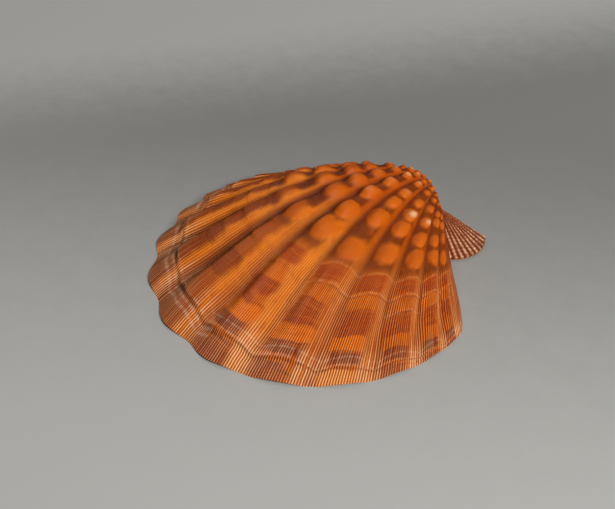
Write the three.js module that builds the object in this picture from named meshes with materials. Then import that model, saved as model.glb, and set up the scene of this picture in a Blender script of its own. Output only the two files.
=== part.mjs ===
import * as THREE from 'three';
import { mergeVertices } from 'three/addons/utils/BufferGeometryUtils.js';

// One valve of a lion's-paw scallop, lying on its margin with the ribbed side up.
// Millimetres, +Z up. The hinge line runs along X, the beak is at +Y and the margin sweeps round -Y.
// The valve is described the way it grew: a margin outline, seen from the beak in polar form, that
// shrinks towards the beak as the growth stage falls from 1 to 0 and turns about the hinge as it does.

// Outline of the margin, seen from above. Angles are from the middle of the shell, positive to +X.
const shellHeight = 130;
const discRadius = 66.5;
const discShift = 3.2;
const cornerSharpness = 6;
const rightSide = { notchAngle: 60, notchReach: 41.4, cornerAngle: 56.4, earTip: 36.1, earBulge: 3 };
const leftSide = { notchAngle: 57.5, notchReach: 36, cornerAngle: 53.8, earTip: 31, earBulge: 0.5 };
const earAngles = [90, 83, 76, 69.5, 63.5];
const sideSteps = 6;
const leastFacing = 0.01;

// How the margin turns about the hinge as it grows, and how high that makes the arch.
const coilRate = 0.866;
const coilEase = 0.0568;
const archScale = 0.78;
const sideGrowth = 0.0748;

// Ribs: evenly spaced across the middle and crowded towards the sides.
const firstRib = -1;
const lastRib = 10;
const ribStride = 0.25;
const middleRib = 4.5;
const ribStep = 0.23;
const ribSpread = 52.2;
const ribCentre = 2.4;
const ribPitch = 27;
const ribDepth = 0.2;
const grooveSharpness = 1.7;
const ribFade = 0.75;
const fadeStart = 0.84;
const marginArch = 1.15;
const archStart = 0.3;
const lobeReach = 1.1;
const lobedFrom = [3, 4.5];

// Growth lines run ahead of the plain stages on the right side of the shell and behind them on the left.
const lineSlant = 0.0143;
const levelRib = 2.9;
const mostAhead = 1.05;

// Rings of knobs on the ribs, and the ledge nearer the margin, by growth line.
const knobRings = [0.165, 0.21, 0.265, 0.345, 0.41, 0.49, 0.592];
const knobAcross = 0.33;
const knobAlong = 0.076;
const knobHeight = 0.23;
const knobTrough = 0.075;
const troughFade = [0.6, 0.68];
const knobShoulder = 0.9;
const ledgeStart = 0.8;
const ledgeStage = 0.94;
const ledgeRun = 0.015;
const ledgeRise = 1;

// Wall thickness, the flat hinge plate under the beak and the pit in it.
const rimWidth = 3.3;
const umboThickening = 2.5;
const thinningStage = 0.08;
const steepestInside = 1.3;
const earThickness = 1.6;
const earThinStage = 0.15;
const hingePlate = 5;
const hingeStep = 5;
const pitDepth = 1.4;
const pitAngle = 28;
const pitEdge = [1, 3];

// Rows nearest the margin and nearest the beak, by growth line, and how close two points count as one.
const marginLines = [1, 0.975, 0.955, 0.94, 0.9, 0.855, 0.8, 0.735, 0.68];
const beakLines = [0.12, 0.08, 0.05, 0.028, 0.013, 0.005];
const samePlace = 1e-3;

// The beak's place, which puts the middle of the shell's box at the origin.
const beakRight = -2.905;
const hingeBack = 63.52;

const radians = THREE.MathUtils.degToRad;
const ease = THREE.MathUtils.smoothstep;

// A direction in the margin's plane: x to the side, y away from the hinge.
function ray(angle) {
  return new THREE.Vector2(Math.sin(radians(angle)), Math.cos(radians(angle)));
}

// Distance from the beak to the round margin of the disc.
function circleReach(angle) {
  const centre = new THREE.Vector2(discShift, shellHeight - discRadius);
  const along = centre.dot(ray(angle));
  return along + Math.sqrt(along ** 2 - centre.lengthSq() + discRadius ** 2);
}

// Distance from the beak to the straight side of the disc, between the ear's notch and the corner.
function sideReach(angle, side, sign) {
  const notch = ray(sign * side.notchAngle).multiplyScalar(side.notchReach);
  const corner = ray(sign * side.cornerAngle).multiplyScalar(circleReach(sign * side.cornerAngle));
  const along = corner.sub(notch);
  const facing = ray(angle).cross(along) * sign;
  return facing > leastFacing ? (notch.cross(along) * sign) / facing : Infinity;
}

// Distance from the beak to the free margin of an ear.
function earReach(angle, side) {
  const t = (Math.abs(angle) - side.notchAngle) / (90 - side.notchAngle);
  return THREE.MathUtils.lerp(side.notchReach, side.earTip, t) + side.earBulge * 4 * t * (1 - t);
}

// The whole margin in polar form: ear, notch, straight side, round disc, and back.
function marginReach(angle) {
  const sign = angle < 0 ? -1 : 1;
  const side = angle < 0 ? leftSide : rightSide;
  if (Math.abs(angle) >= side.notchAngle) {
    return earReach(angle, side);
  }
  const disc = circleReach(angle);
  const straight = sideReach(angle, side, sign);
  return (disc ** -cornerSharpness + straight ** -cornerSharpness) ** (-1 / cornerSharpness);
}

function ribAngle(rib) {
  return ribCentre + ribSpread * Math.sin(ribStep * (middleRib - rib));
}

// How far the margin reaches past its plain outline: the left ribs end in lobes.
function marginLobe(rib) {
  return lobeReach * ease(rib, ...lobedFrom) * Math.cos(2 * Math.PI * rib);
}

// Columns of the shell's surface, from the left ear's tip round to the right ear's. Each crosses the
// growth lines at a rib number, and those of the disc, between the sides, are ribbed.
function makeColumns() {
  const columns = [];
  const leftRib = lastRib + ribStride;
  const rightRib = firstRib - ribStride;
  for (const angle of earAngles) {
    columns.push({ angle: -angle, ear: true, ribbed: false, rib: leftRib });
  }
  for (let i = 0; i < sideSteps; i += 1) {
    const angle = THREE.MathUtils.lerp(-leftSide.notchAngle, ribAngle(leftRib), i / sideSteps);
    columns.push({ angle, ear: i === 0, ribbed: false, rib: leftRib });
  }
  for (let rib = leftRib; rib >= rightRib; rib -= ribStride) {
    columns.push({ angle: ribAngle(rib), ear: false, ribbed: true, rib });
  }
  for (let i = 1; i <= sideSteps; i += 1) {
    const angle = THREE.MathUtils.lerp(ribAngle(rightRib), rightSide.notchAngle, i / sideSteps);
    columns.push({ angle, ear: i === sideSteps, ribbed: false, rib: rightRib });
  }
  for (const angle of earAngles.toReversed()) {
    columns.push({ angle, ear: true, ribbed: false, rib: rightRib });
  }
  for (const column of columns) {
    const lobe = column.ribbed ? marginLobe(column.rib) : 0;
    column.edge = ray(column.angle).multiplyScalar(marginReach(column.angle) + lobe);
  }
  columns.forEach((column, i) => {
    const before = columns[Math.max(i - 1, 0)].edge;
    const after = columns[Math.min(i + 1, columns.length - 1)].edge;
    const along = after.clone().sub(before).normalize();
    const square = new THREE.Vector2(-along.y, along.x);
    column.outward = column.ribbed ? ray(column.angle) : square;
  });
  return columns;
}

// Growth lines that the rows follow: close together where knobs and ledges need them.
function makeLines() {
  const shoulder = knobAlong * knobShoulder;
  const knobLines = [];
  for (const ring of knobRings.toReversed()) {
    knobLines.push(ring * (1 + shoulder), ring, ring * (1 - shoulder));
  }
  return [...marginLines, ...knobLines, ...beakLines];
}

function coil(stage) {
  const age = -Math.log(stage);
  return coilRate * age - coilEase * age ** 2;
}

// Growth stage of a growth line where it crosses a rib.
function lineStage(line, rib) {
  const ahead = Math.min(1 - lineSlant * (rib - levelRib), mostAhead);
  if (line <= ledgeStage) {
    return line * ahead;
  }
  return THREE.MathUtils.mapLinear(line, ledgeStage, 1, ledgeStage * ahead, 1);
}

// Depth of the grooves between the ribs, as a height below the rib crests.
function grooves(rib, stage) {
  const fade = 1 - ribFade * ease(stage, fadeStart, 1);
  const groove = ((1 - Math.cos(2 * Math.PI * rib)) / 2) ** grooveSharpness;
  return -ribDepth * fade * localPitch(rib, stage) * groove;
}

function localPitch(rib, stage) {
  return ribPitch * stage * Math.cos(ribStep * (middleRib - rib));
}

// Knobs on the ribs, the troughs between them and the ledge near the margin.
function swellings(rib, line) {
  const crest = (1 + Math.cos(2 * Math.PI * rib)) / 2;
  const pitch = localPitch(rib, line);
  const drop = ease(line, ledgeStage, ledgeStage + ledgeRun);
  let height = ledgeRise * ease(line, ledgeStart, ledgeStage) * (1 - drop);
  const sideways = (rib - Math.round(rib)) / knobAcross;
  let knob = 0;
  for (const ring of knobRings) {
    const lengthways = (line - ring) / (knobAlong * ring);
    knob = Math.max(knob, 1 - sideways ** 2 - lengthways ** 2);
  }
  const trough = knobTrough * (1 - ease(line, ...troughFade)) * (1 - knob);
  height += pitch * (knobHeight * (1 - line) * knob - trough * crest);
  return height;
}

// A point of the shell turned about the hinge, from its side reach and its reach away from the hinge.
function turned(side, reach, turn) {
  return new THREE.Vector3(side, -reach * Math.cos(turn), reach * Math.sin(turn) * archScale);
}

// A point of the smooth outer surface.
function smoothOuter(column, stage) {
  const spread = 1 + sideGrowth * Math.log(stage);
  return turned(stage * column.edge.x * spread, stage * column.edge.y, coil(stage));
}

// Outward direction of the smooth outer surface.
function outerNormal(columns, i, stage) {
  const across = smoothOuter(columns[i + 1], stage).sub(smoothOuter(columns[i - 1], stage));
  const inward = smoothOuter(columns[i], stage * 0.99).sub(smoothOuter(columns[i], stage));
  return across.cross(inward).normalize();
}

// The margin arches over the table at each rib and touches it between them.
function marginLift(rib, stage) {
  return marginArch * ease(stage, archStart, 1) * Math.cos(ribStep * (middleRib - rib));
}

// Relief raised on a point of a ribbed column. At the margin it is upright, so the outline stays.
function raised(point, columns, i, stage, height) {
  const upright = ease(stage, fadeStart, 1);
  const normal = outerNormal(columns, i, stage);
  const lift = marginLift(columns[i].rib, stage);
  point.x += height * normal.x * (1 - upright);
  point.y += height * normal.y * (1 - upright);
  point.z = Math.max(point.z + height * normal.z + lift, 0);
  return point;
}

function outerPoint(columns, i, line) {
  const column = columns[i];
  const stage = lineStage(line, column.rib);
  const point = smoothOuter(column, stage);
  if (column.ear) {
    point.z += earThickness * ease(stage, 0, earThinStage);
  }
  if (column.ribbed) {
    raised(point, columns, i, stage, grooves(column.rib, stage) + swellings(column.rib, line));
  }
  return point;
}

// A point of the inner surface: flat under the ears and the hinge plate, hollow and ribbed under the disc.
function innerPoint(columns, i, line) {
  const column = columns[i];
  const stage = lineStage(line, column.rib);
  const spread = 1 + sideGrowth * Math.log(stage);
  if (column.ear) {
    return new THREE.Vector3(stage * column.edge.x * spread, -stage * column.edge.y, 0);
  }
  const inset = (rimWidth * stage) / (stage + thinningStage);
  const side = stage * column.edge.x * spread - inset * column.outward.x;
  const reach = stage * column.edge.y - inset * column.outward.y;
  const thickening = (umboThickening * (1 - stage) ** 2) / (stage + thinningStage) / shellHeight;
  const turn = THREE.MathUtils.clamp(coil(stage) - thickening, 0, steepestInside);
  const fromBeak = Math.hypot(side, reach);
  const hollow = ease(fromBeak, hingePlate, hingePlate + hingeStep);
  const middle = 1 - ease(Math.abs(column.angle), pitAngle / 2, pitAngle);
  const point = turned(side, reach, turn * hollow);
  point.z += pitDepth * (1 - hollow) * middle * ease(fromBeak, ...pitEdge);
  if (column.ribbed) {
    raised(point, columns, i, stage, grooves(column.rib, stage) * hollow);
  }
  return point;
}

// The two surfaces share their rows and columns, so their borders join into one closed skin.
function makeShell() {
  const columns = makeColumns();
  const lines = makeLines();
  const positions = [];
  const width = columns.length;
  const depth = lines.length;
  for (const line of lines) {
    for (let i = 0; i < width; i += 1) {
      positions.push(...outerPoint(columns, i, line).toArray());
    }
  }
  for (const line of lines) {
    for (let i = 0; i < width; i += 1) {
      positions.push(...innerPoint(columns, i, line).toArray());
    }
  }
  const outer = (row, i) => row * width + i;
  const inner = (row, i) => (depth + row) * width + i;
  const faces = [];
  const quad = (a, b, c, d) => faces.push(a, b, c, a, c, d);
  for (let row = 0; row < depth - 1; row += 1) {
    for (let i = 0; i < width - 1; i += 1) {
      quad(outer(row, i), outer(row, i + 1), outer(row + 1, i + 1), outer(row + 1, i));
      quad(inner(row, i), inner(row + 1, i), inner(row + 1, i + 1), inner(row, i + 1));
    }
    quad(outer(row, 0), outer(row + 1, 0), inner(row + 1, 0), inner(row, 0));
    const last = width - 1;
    quad(outer(row, last), inner(row, last), inner(row + 1, last), outer(row + 1, last));
  }
  for (let i = 0; i < width - 1; i += 1) {
    const top = depth - 1;
    quad(outer(0, i), inner(0, i), inner(0, i + 1), outer(0, i + 1));
    quad(outer(top, i), outer(top, i + 1), inner(top, i + 1), inner(top, i));
  }
  const geometry = new THREE.BufferGeometry();
  geometry.setAttribute('position', new THREE.Float32BufferAttribute(positions, 3));
  geometry.setIndex(faces);
  return mergeVertices(geometry, samePlace);
}

const shellColour = new THREE.MeshStandardMaterial({ color: 0xb85a1c, roughness: 0.55, metalness: 0 });
const valve = new THREE.Mesh(makeShell(), shellColour);
valve.name = 'shell_valve';
valve.position.set(beakRight, hingeBack, 0);

const shell = new THREE.Group();
shell.add(valve);

export default shell;
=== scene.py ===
"""One valve of a lion's-paw scallop, lying on its margin on a pale studio floor.

The valve is drawn the way it grew. Its margin, seen from the beak, is a polar outline: an ear, a
straight side, the round disc, the other side and the other ear. As the growth stage falls from 1 at
the margin to 0 at the beak, the outline shrinks towards the beak and turns about the hinge. Ribs,
knobs, ledges and cords are heights over that smooth surface. Sizes are in millimetres until a mesh
is placed, which puts it in metres in the shared frame.
"""
import logging
import math
from dataclasses import dataclass, field
from enum import Enum

import bmesh
import bpy
import numpy as np
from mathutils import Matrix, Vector


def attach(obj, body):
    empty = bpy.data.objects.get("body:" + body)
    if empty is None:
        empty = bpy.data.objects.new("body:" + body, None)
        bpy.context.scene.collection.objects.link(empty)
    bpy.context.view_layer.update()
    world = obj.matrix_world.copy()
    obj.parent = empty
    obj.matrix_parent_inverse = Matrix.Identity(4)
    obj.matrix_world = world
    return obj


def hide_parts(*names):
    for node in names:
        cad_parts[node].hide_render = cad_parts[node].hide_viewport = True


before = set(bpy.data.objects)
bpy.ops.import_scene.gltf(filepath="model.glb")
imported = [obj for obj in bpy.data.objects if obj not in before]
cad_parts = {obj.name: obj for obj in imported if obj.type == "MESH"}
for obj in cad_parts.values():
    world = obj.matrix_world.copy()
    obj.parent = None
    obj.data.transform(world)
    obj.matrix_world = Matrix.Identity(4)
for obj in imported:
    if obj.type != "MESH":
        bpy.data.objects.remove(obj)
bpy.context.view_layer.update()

NODE = "shell_valve"
BODY = "root"
MM = 0.001
PHOTO_WIDTH = 615

Colour = tuple[float, float, float]
Point = tuple[float, float, float]
Cloud = tuple[float, float, float]
Span = tuple[float, float]
Pair = tuple[float, float]
Socket = bpy.types.NodeSocket
Source = Socket | float
PLAIN_NOISE: Pair = (2.0, 0.5)

log = logging.getLogger("valve")


def ease(values: np.ndarray, low: float, high: float) -> np.ndarray:
    """Smooth step from 0 at low to 1 at high.

    Args:
        values: The values to step.
        low: Where the step starts.
        high: Where the step ends.

    Returns:
        The eased values, between 0 and 1.
    """
    t = np.clip((values - low) / (high - low), 0.0, 1.0)
    return t * t * (3.0 - 2.0 * t)


def bell(values: np.ndarray, centre: np.ndarray | float, width: np.ndarray | float) -> np.ndarray:
    """Bell curve of height 1 about a centre.

    Args:
        values: Where to read the curve.
        centre: Its middle.
        width: Its half width, where it has fallen to about a third.

    Returns:
        The height of the curve at each value.
    """
    return np.exp(-(((values - centre) / width) ** 2))


def direction(azimuth: float, elevation: float) -> Vector:
    """Unit vector from the shell towards a direction in degrees; azimuth 0 is the front."""
    a, e = math.radians(azimuth), math.radians(elevation)
    return Vector((math.sin(a) * math.cos(e), -math.cos(a) * math.cos(e), math.sin(e)))


class Region(Enum):
    """The stretches of the outline that a column of the surface can belong to."""

    EAR = "ear"
    SIDE = "side"
    DISC = "disc"


@dataclass(frozen=True)
class Side:
    """Outline of one side of the valve: angles from the middle, and reaches from the beak in mm."""

    sign: int
    notch_angle: float
    notch_reach: float
    corner_angle: float
    ear_tip: float
    ear_bulge: float


@dataclass(frozen=True)
class Outline:
    """The margin seen from above, in polar form about the beak."""

    height: float = 129.8
    radius: float = 66.4
    shift: float = 3.2
    corner_sharpness: float = 6.0
    least_facing: float = 0.01
    far_off: float = 1e6
    right: Side = Side(1, 60.0, 41.4, 56.4, 36.1, 3.0)
    left: Side = Side(-1, 57.5, 36.0, 53.8, 31.0, 0.5)

    def disc_reach(self, angle: np.ndarray) -> np.ndarray:
        """Distance from the beak to the round margin of the disc.

        Args:
            angle: Angles in degrees.

        Returns:
            The distances in mm.
        """
        across, away = np.sin(np.radians(angle)), np.cos(np.radians(angle))
        back = self.height - self.radius
        along = self.shift * across + back * away
        return along + np.sqrt(along**2 - self.shift**2 - back**2 + self.radius**2)

    def side_reach(self, angle: np.ndarray, side: Side) -> np.ndarray:
        """Distance from the beak to a straight side of the disc.

        Args:
            angle: Angles in degrees, all on that side of the middle.
            side: The side of the valve.

        Returns:
            The distances in mm, or a very large one where the ray misses the side.
        """
        notch = side.notch_reach * self.ray(side.sign * side.notch_angle)
        corner_angle = np.array(side.sign * side.corner_angle)
        corner = float(self.disc_reach(corner_angle)) * self.ray(side.sign * side.corner_angle)
        along = corner - notch
        across, away = np.sin(np.radians(angle)), np.cos(np.radians(angle))
        facing = (across * along[1] - away * along[0]) * side.sign
        offset = (notch[0] * along[1] - notch[1] * along[0]) * side.sign
        met = offset / np.maximum(facing, self.least_facing)
        return np.where(facing > self.least_facing, met, self.far_off)

    def ear_reach(self, angle: np.ndarray, side: Side) -> np.ndarray:
        """Distance from the beak to the free margin of an ear.

        Args:
            angle: Angles in degrees.
            side: The side of the valve.

        Returns:
            The distances in mm.
        """
        t = (np.abs(angle) - side.notch_angle) / (90.0 - side.notch_angle)
        bulge = side.ear_bulge * 4.0 * t * (1.0 - t)
        return side.notch_reach + (side.ear_tip - side.notch_reach) * t + bulge

    def reach(self, angle: np.ndarray) -> np.ndarray:
        """Distance from the beak to the margin all the way round.

        Args:
            angle: Angles in degrees.

        Returns:
            The distances in mm.
        """
        disc = self.disc_reach(angle)
        reaches = np.zeros_like(angle)
        for side in (self.left, self.right):
            mine = angle * side.sign >= 0.0
            straight = self.side_reach(angle, side)
            n = self.corner_sharpness
            rounded = (disc**-n + straight**-n) ** (-1.0 / n)
            free = np.abs(angle) >= side.notch_angle
            reaches = np.where(mine, np.where(free, self.ear_reach(angle, side), rounded), reaches)
        return reaches

    @staticmethod
    def ray(angle: float) -> np.ndarray:
        """Direction in the margin's plane at an angle: to the side, and away from the hinge."""
        return np.array([math.sin(math.radians(angle)), math.cos(math.radians(angle))])


@dataclass(frozen=True)
class Growth:
    """How the margin turns about the hinge as it grows, and where its growth lines run.

    A growth line is named by its stage on the level rib. It runs ahead of that stage on the right side
    of the shell and behind it on the left.
    """

    coil_rate: float = 0.866
    coil_ease: float = 0.0568
    arch_scale: float = 0.78
    side_growth: float = 0.0748
    line_slant: float = 0.0143
    level_rib: float = 2.9
    most_ahead: float = 1.05
    last_slanted: float = 0.94

    def stage(self, line: np.ndarray, rib: np.ndarray) -> np.ndarray:
        """Growth stage of growth lines where they cross the ribs.

        Args:
            line: Growth lines of the rows, as a column.
            rib: Rib numbers of the columns.

        Returns:
            A grid of stages, rows by columns.
        """
        ahead = np.minimum(1.0 - self.line_slant * (rib - self.level_rib), self.most_ahead)
        edge = self.last_slanted
        beyond = edge * ahead + (line - edge) / (1.0 - edge) * (1.0 - edge * ahead)
        return np.where(line <= edge, line * ahead, beyond)

    def turn(self, stage: np.ndarray) -> np.ndarray:
        """Angle about the hinge, in radians, of the margin at each growth stage."""
        age = -np.log(stage)
        return self.coil_rate * age - self.coil_ease * age**2

    def spread(self, stage: np.ndarray) -> np.ndarray:
        """Width of the young shell against a plain scaled copy of the grown one."""
        return 1.0 + self.side_growth * np.log(stage)

    def place(self, side: np.ndarray, away: np.ndarray, turn: np.ndarray) -> np.ndarray:
        """Points of the shell from their reach to the side, away from the hinge, and their turn."""
        return np.stack([side, -away * np.cos(turn), away * np.sin(turn) * self.arch_scale], axis=-1)


@dataclass(frozen=True)
class Ribs:
    """The ribs of the disc: where they run and how deep the grooves between them are."""

    first: float = -1.0
    last: float = 10.0
    middle: float = 4.5
    step: float = 0.23
    spread: float = 52.2
    centre: float = 2.4
    pitch: float = 27.0
    depth: float = 0.2
    sharpness: float = 1.7
    fade: float = 0.75
    fade_start: float = 0.84
    margin_arch: float = 1.15
    arch_start: float = 0.3
    beyond: float = 0.25
    widest: float = 0.985
    lobe: float = 1.1
    lobed_from: tuple[float, float] = (3.0, 4.5)

    def angle(self, rib: np.ndarray) -> np.ndarray:
        """Angle from the middle, in degrees, of a rib number or a place between two."""
        return self.centre + self.spread * np.sin(self.step * (self.middle - rib))

    def number(self, angle: np.ndarray) -> np.ndarray:
        """Rib number at an angle, held a little beyond the outermost ribs.

        Args:
            angle: Angles in degrees.

        Returns:
            The rib numbers.
        """
        sine = np.clip((angle - self.centre) / self.spread, -self.widest, self.widest)
        rib = self.middle - np.arcsin(sine) / self.step
        return np.clip(rib, self.first - self.beyond, self.last + self.beyond)

    def weight(self, rib: np.ndarray) -> np.ndarray:
        """Width of the ribs against the middle one; the side ribs are narrow."""
        return np.cos(self.step * (self.middle - rib))

    def crest(self, rib: np.ndarray) -> np.ndarray:
        """1 along the top of each rib and 0 along the floor between two."""
        return (1.0 + np.cos(2.0 * np.pi * rib)) / 2.0

    def grooves(self, rib: np.ndarray, stage: np.ndarray) -> np.ndarray:
        """Depth of the grooves between the ribs.

        Args:
            rib: Rib numbers of the columns.
            stage: Growth stages of the points.

        Returns:
            Heights in mm against the rib tops, all zero or below.
        """
        fade = 1.0 - self.fade * ease(stage, self.fade_start, 1.0)
        groove = (1.0 - self.crest(rib)) ** self.sharpness
        return -self.depth * fade * self.pitch * stage * self.weight(rib) * groove

    def lobes(self, rib: np.ndarray) -> np.ndarray:
        """How far in mm the margin reaches past its plain outline; the left ribs end in lobes."""
        return self.lobe * ease(rib, *self.lobed_from) * np.cos(2.0 * np.pi * rib)

    def lift(self, rib: np.ndarray, stage: np.ndarray) -> np.ndarray:
        """Rise in mm that arches the margin over the table at each rib."""
        return self.margin_arch * ease(stage, self.arch_start, 1.0) * self.weight(rib)


@dataclass(frozen=True)
class Knobs:
    """Rings of knobs on the young part of each rib, with troughs between them."""

    rings: tuple[float, ...] = (0.165, 0.21, 0.268, 0.345, 0.413, 0.494, 0.594)
    across: float = 0.52
    bow: float = 0.16
    squareness: float = 2.3
    dome: float = 0.6
    behind: float = 0.1
    ahead: float = 0.075
    height: float = 0.283
    trough: float = 0.075
    trough_end: tuple[float, float] = (0.6, 0.68)
    least: float = 0.65
    scatter: float = 0.014
    side_scatter: float = 0.05
    worn: tuple[tuple[int, int, float], ...] = (
        (1, 4, 1.0),
        (2, 4, 1.0),
        (4, 4, 0.3),
        (5, 4, 0.3),
        (3, 3, 0.3),
    )
    seed: int = 5

    def shapes(self, rib: np.ndarray, line: np.ndarray, ribs: Ribs) -> tuple[np.ndarray, np.ndarray]:
        """How far up a knob each point is, from 0 beside it to 1 on its top, and how worn its top is.

        Args:
            rib: Rib numbers of the columns.
            line: Growth lines of the rows, as a column.
            ribs: The ribs that carry the knobs.

        Returns:
            Two grids, rows by columns: the knobs and their wear.
        """
        draw = np.random.default_rng(self.seed)
        nearest = np.clip(np.round(rib), ribs.first, ribs.last).astype(int)
        count = int(ribs.last - ribs.first) + 1
        slot = nearest - int(ribs.first)
        knobs = np.zeros(np.broadcast(rib, line).shape)
        wear = np.zeros_like(knobs)
        for number, ring in enumerate(self.rings):
            shift = draw.normal(0.0, self.scatter, count)[slot]
            aside = draw.normal(0.0, self.side_scatter, count)[slot]
            size = draw.uniform(self.least, 1.0, count)[slot]
            centre = ring * (1.0 + shift)
            offset = rib - nearest
            sideways = np.abs(offset - aside * (1.0 - 2.0 * np.abs(offset)))
            bowed = centre - self.bow * ring * sideways**2
            length = ring * np.where(line > bowed, self.ahead, self.behind)
            lengthways = np.abs(line - bowed) / length
            square = (sideways / self.across) ** self.squareness + lengthways**self.squareness
            knob = size * ease(1.0 - square**self.dome, 0.0, 1.0)
            knobs = np.maximum(knobs, knob)
            for worn_rib, worn_ring, amount in self.worn:
                if worn_ring == number:
                    wear = wear + amount * knob**3 * (nearest == worn_rib)
        return knobs, wear

    def heights(self, knobs: np.ndarray, rib: np.ndarray, line: np.ndarray, ribs: Ribs) -> np.ndarray:
        """Height in mm of the knobs and troughs over the plain rib tops.

        Args:
            knobs: How far up a knob each point is.
            rib: Rib numbers of the columns.
            line: Growth lines of the rows, as a column.
            ribs: The ribs that carry the knobs.

        Returns:
            A grid of heights, rows by columns.
        """
        pitch = ribs.pitch * line * ribs.weight(rib)
        trough = self.trough * (1.0 - ease(line, *self.trough_end)) * np.maximum(1.0 - knobs, 0.0)
        return pitch * (self.height * (1.0 - line) * knobs - trough * ribs.crest(rib))


@dataclass(frozen=True)
class Ledge:
    """One step where growth paused: a gentle swell towards the margin, then a short drop."""

    line: float
    rise: float
    swell: float
    run: float
    between: float


@dataclass(frozen=True)
class Ledges:
    """All the steps of the shell, from the rings of knobs to the margin."""

    steps: tuple[Ledge, ...] = (
        Ledge(0.658, 0.5, 0.03, 0.008, 0.35),
        Ledge(0.727, 0.55, 0.05, 0.008, 0.6),
        Ledge(0.785, 0.2, 0.03, 0.008, 0.5),
        Ledge(0.84, 0.15, 0.03, 0.008, 0.5),
        Ledge(0.94, 1.15, 0.13, 0.009, 0.85),
        Ledge(0.972, 0.25, 0.015, 0.007, 0.7),
    )
    waviness: float = 0.0035
    waves: tuple[tuple[float, float, float], ...] = ((1.7, 2.0, 1.0), (4.1, 1.0, 0.6))
    bow: float = 0.012

    def heights(self, rib: np.ndarray, line: np.ndarray, crest: np.ndarray) -> np.ndarray:
        """Height in mm of the ledges over the rib tops.

        Args:
            rib: Rib numbers of the columns.
            line: Growth lines of the rows, as a column.
            crest: 1 on the rib tops and 0 between them.

        Returns:
            A grid of heights, rows by columns.
        """
        total = np.zeros(np.broadcast(rib, line).shape)
        for number, step in enumerate(self.steps):
            wave = sum(size * np.sin(rate * rib + turn * number) for rate, turn, size in self.waves)
            edge = step.line + self.waviness * wave + self.bow * (1.0 - crest)
            swell = ease(line, edge - step.swell, edge) * (1.0 - ease(line, edge, edge + step.run))
            total = total + step.rise * swell * (step.between + (1.0 - step.between) * crest)
        return total


@dataclass(frozen=True)
class Cords:
    """Fine radial cords over the disc and sides, and the beaded cords of the ears."""

    columns_each: int = 4
    depth: float = 0.36
    young_line: float = 0.5
    grown_line: float = 0.88
    ear_cords: int = 9
    ear_depth: float = 0.7
    ear_lines: Span = (0.02, 0.35)
    bead_spacing: float = 1.7
    bead_depth: float = 0.3
    bead_slant: float = 0.3
    slant_rate: float = 9.0

    def disc_depth(self, phase: np.ndarray, line: np.ndarray) -> np.ndarray:
        """Depth in mm of the furrows between the fine cords.

        Args:
            phase: Cord number along the margin.
            line: Growth lines of the rows, as a column.

        Returns:
            A grid of heights, all zero or below.
        """
        fade = ease(line, self.young_line, self.grown_line)
        wave = (1.0 - np.cos(2.0 * np.pi * phase)) / 2.0
        return -self.depth * fade * wave

    def ear_beads(self, t: np.ndarray, reach: np.ndarray) -> np.ndarray:
        """How far up a bead each point of an ear is, from 0 in a furrow to 1 on a bead's top.

        Args:
            t: Place across the ear, 0 at the notch and 1 at the hinge.
            reach: Distance from the beak in mm.

        Returns:
            A grid, rows by columns.
        """
        cord = (1.0 + np.cos(2.0 * np.pi * self.ear_cords * t)) / 2.0
        count = reach / self.bead_spacing + self.bead_slant * np.sin(self.slant_rate * t)
        bead = (1.0 + np.cos(2.0 * np.pi * count)) / 2.0
        share = self.bead_depth / self.ear_depth
        return cord * (1.0 - share * (1.0 - bead))


@dataclass(frozen=True)
class Wall:
    """Thickness of the shell, the flat hinge plate under the beak and the pit in it."""

    rim_width: float = 3.3
    umbo_thickening: float = 2.5
    thinning_stage: float = 0.08
    steepest: float = 1.3
    ear_thickness: float = 1.6
    ear_thin_line: float = 0.15
    hinge_plate: float = 5.0
    hinge_step: float = 5.0
    pit_depth: float = 1.4
    pit_angle: float = 28.0
    pit_edge: Span = (1.0, 3.0)


@dataclass
class Columns:
    """The columns of a surface grid, from the left ear's tip round to the right ear's.

    Each array has one value per column. The edge is the column's place on the margin. Outward points
    from the beak on the disc and square to the margin on the sides and ears.
    """

    angle: np.ndarray
    region: np.ndarray
    edge: np.ndarray
    outward: np.ndarray
    rib: np.ndarray
    weight: np.ndarray
    cord: np.ndarray
    ear: np.ndarray
    ear_place: np.ndarray

    def thinned(self, step: int, ear_step: int) -> "Columns":
        """Fewer of the same columns.

        Args:
            step: Keeps every nth column.
            ear_step: Also keeps every nth column of the ears.

        Returns:
            The columns kept.
        """
        number = np.arange(len(self.angle))
        on_ear = self.region == Region.EAR
        kept = (number % step == 0) | (on_ear & (number % ear_step == 0))
        return Columns(**{name: values[kept] for name, values in vars(self).items()})

    def stretches(self) -> list[tuple[int, int]]:
        """Find the stretches of one region each.

        Returns:
            First and last column of each stretch; the last is where the next one starts.
        """
        changes = [n for n in range(1, len(self.region)) if self.region[n] != self.region[n - 1]]
        ends = [0] + changes + [len(self.region) - 1]
        return list(zip(ends, ends[1:]))


@dataclass
class Sheet:
    """A grid of points in mm, rows by columns, with the values that its finish reads at each point."""

    points: np.ndarray
    values: dict[str, np.ndarray]


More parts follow.
